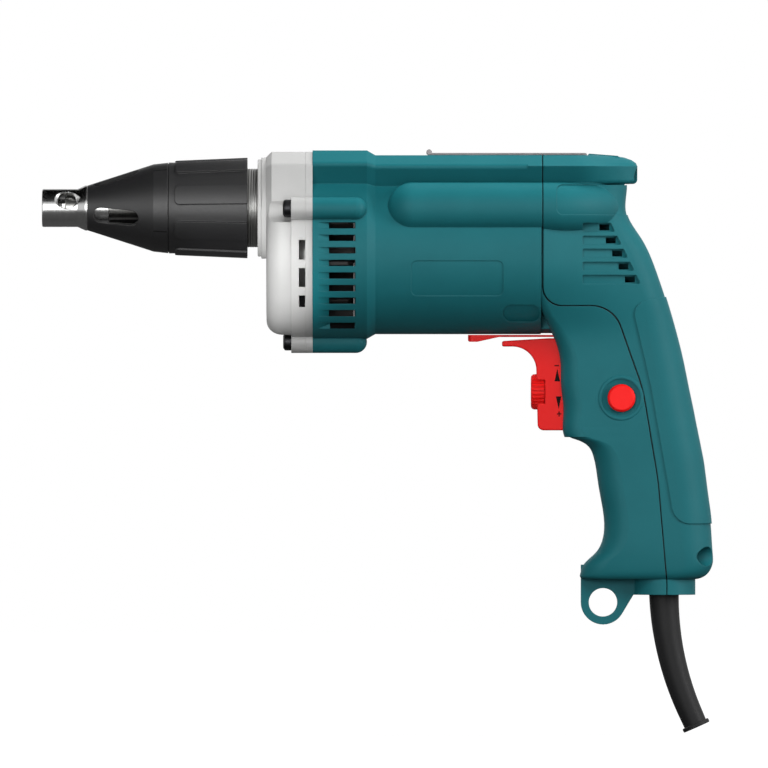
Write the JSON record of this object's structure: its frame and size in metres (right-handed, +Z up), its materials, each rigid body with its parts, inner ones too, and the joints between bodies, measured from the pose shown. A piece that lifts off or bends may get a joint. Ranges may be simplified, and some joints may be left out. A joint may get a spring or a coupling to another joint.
{
  "type": "drywall screwdriver",
  "caption": "Pistol-grip electric drywall screwdriver with a depth-setting nose, a gear reduction and jaw clutch, a trigger with a speed dial, a reversing lever and a lock button.",
  "frame": {"origin": "centre of the nose face on the spindle axis, where the bit meets the screw", "axes": "+X back along the spindle from the nose, +Z up, away from the handle's end, +Y to the tool's far side when its nose points left"},
  "size_m": [0.2818, 0.0738, 0.2448],
  "materials": {
    "polished_steel": "polished steel",
    "black_plastic": "fine-grained black moulding",
    "neck_steel": "dull phosphated steel",
    "cast_aluminium": "bead-blasted die casting",
    "teal_plastic": "satin moulded shell",
    "red_plastic": "smooth moulding",
    "dark_rubber": "soft matte rubber",
    "black_steel": "blackened steel",
    "machined_steel": "turned and ground",
    "sintered_bronze": "oil-filled bronze",
    "winding_copper": "varnished copper wire",
    "brass": "drawn brass",
    "carbon": "pressed carbon",
    "inner_plastic": "black moulding",
    "bearing_steel": "ground bearing steel"
  },
  "bodies": {
    "housing": {"neck_sleeve": "neck_steel", "spindle_bush": "sintered_bronze", "spindle_seal": "dark_rubber", "pilot_bush": "sintered_bronze", "gear_washer": "machined_steel", "gear_housing": "cast_aluminium", "gear_housing_cover": "cast_aluminium", "gear_housing_screws": "black_steel", "motor_housing": "teal_plastic", "handle_cover": "teal_plastic", "handle_screws": "black_steel", "belt_hook": "machined_steel", "cord_guard": "dark_rubber", "capacitor": "inner_plastic", "cord_clamp": "inner_plastic", "clamp_screws": "black_steel", "switch_unit": "inner_plastic", "trigger_spring": "machined_steel", "lock_spring": "machined_steel", "front_bearing": "bearing_steel", "rear_bearing": "bearing_steel", "bearing_sleeve": "dark_rubber", "field_core": "machined_steel", "field_coils": "winding_copper", "baffle_ring": "inner_plastic", "brush_holders": "brass", "carbon_brushes": "carbon", "brush_springs": "machined_steel"},
    "depth_slider": {"click_ring": "machined_steel"},
    "depth_ring": {"adjusting_ring": "black_plastic"},
    "locator": {"locator_tip": "polished_steel", "locator_cone": "black_plastic"},
    "push_washer": {"thrust_washer": "machined_steel"},
    "spindle": {"spindle": "machined_steel", "bit_holder": "machined_steel", "bit_magnet": "bearing_steel", "driver_bit": "machined_steel"},
    "drive_gear": {"drive_gear": "machined_steel", "clutch_spring": "machined_steel"},
    "armature": {"armature_shaft": "machined_steel", "armature_core": "machined_steel", "armature_windings": "winding_copper", "commutator": "winding_copper", "fan": "inner_plastic"},
    "trigger": {"trigger": "red_plastic"},
    "speed_dial": {"speed_dial": "red_plastic"},
    "reverse_lever": {"reverse_lever": "red_plastic"},
    "lock_button": {"lock_button": "red_plastic"}
  },
  "joints": [
    {"name": "depth_slide", "type": "slide", "parent": "housing", "child": "depth_slider", "axis": [1, 0, 0], "range_m": [-0.002, 0.002]},
    {"name": "ring_turn", "type": "hinge", "parent": "depth_slider", "child": "depth_ring", "pos_m": [0.07, 0, 0], "axis": [1, 0, 0], "range_deg": [-370, 370]},
    {"name": "locator_pull", "type": "slide", "parent": "depth_ring", "child": "locator", "axis": [-1, 0, 0], "range_m": [0, 0.062]},
    {"name": "spindle_push", "type": "slide", "parent": "housing", "child": "push_washer", "axis": [1, 0, 0], "range_m": [0, 0.0032], "stiffness_N_per_m": 2000, "springref_m": -0.003, "deforming": ["clutch_spring"]},
    {"name": "spindle_spin", "type": "hinge", "parent": "push_washer", "child": "spindle", "pos_m": [0.07, 0, 0], "axis": [1, 0, 0], "continuous": true},
    {"name": "gear_spin", "type": "hinge", "parent": "housing", "child": "drive_gear", "pos_m": [0.1, 0, 0], "axis": [1, 0, 0], "continuous": true},
    {"name": "armature_spin", "type": "hinge", "parent": "housing", "child": "armature", "pos_m": [0.15, 0, -0.019], "axis": [1, 0, 0], "continuous": true},
    {"name": "trigger_pull", "type": "slide", "parent": "housing", "child": "trigger", "axis": [1, 0, 0], "range_m": [0, 0.007], "stiffness_N_per_m": 800, "springref_m": -0.006, "deforming": ["trigger_spring"]},
    {"name": "dial_turn", "type": "hinge", "parent": "trigger", "child": "speed_dial", "pos_m": [0.208, 0, -0.0772], "axis": [1, 0, 0], "range_deg": [-135, 135]},
    {"name": "lever_swing", "type": "hinge", "parent": "housing", "child": "reverse_lever", "pos_m": [0.236, 0, -0.0555], "axis": [0, 0, 1], "range_deg": [-7, 7]},
    {"name": "lock_push", "type": "slide", "parent": "housing", "child": "lock_button", "axis": [0, 1, 0], "range_m": [0, 0.0024], "stiffness_N_per_m": 400, "springref_m": -0.003, "deforming": ["lock_spring"]}
  ],
  "couplings": [
    {"joint": "gear_spin", "follows": "armature_spin", "ratio": -0.25},
    {"joint": "ring_turn", "follows": "depth_slide", "rad_per_m": 3141.6}
  ]
}
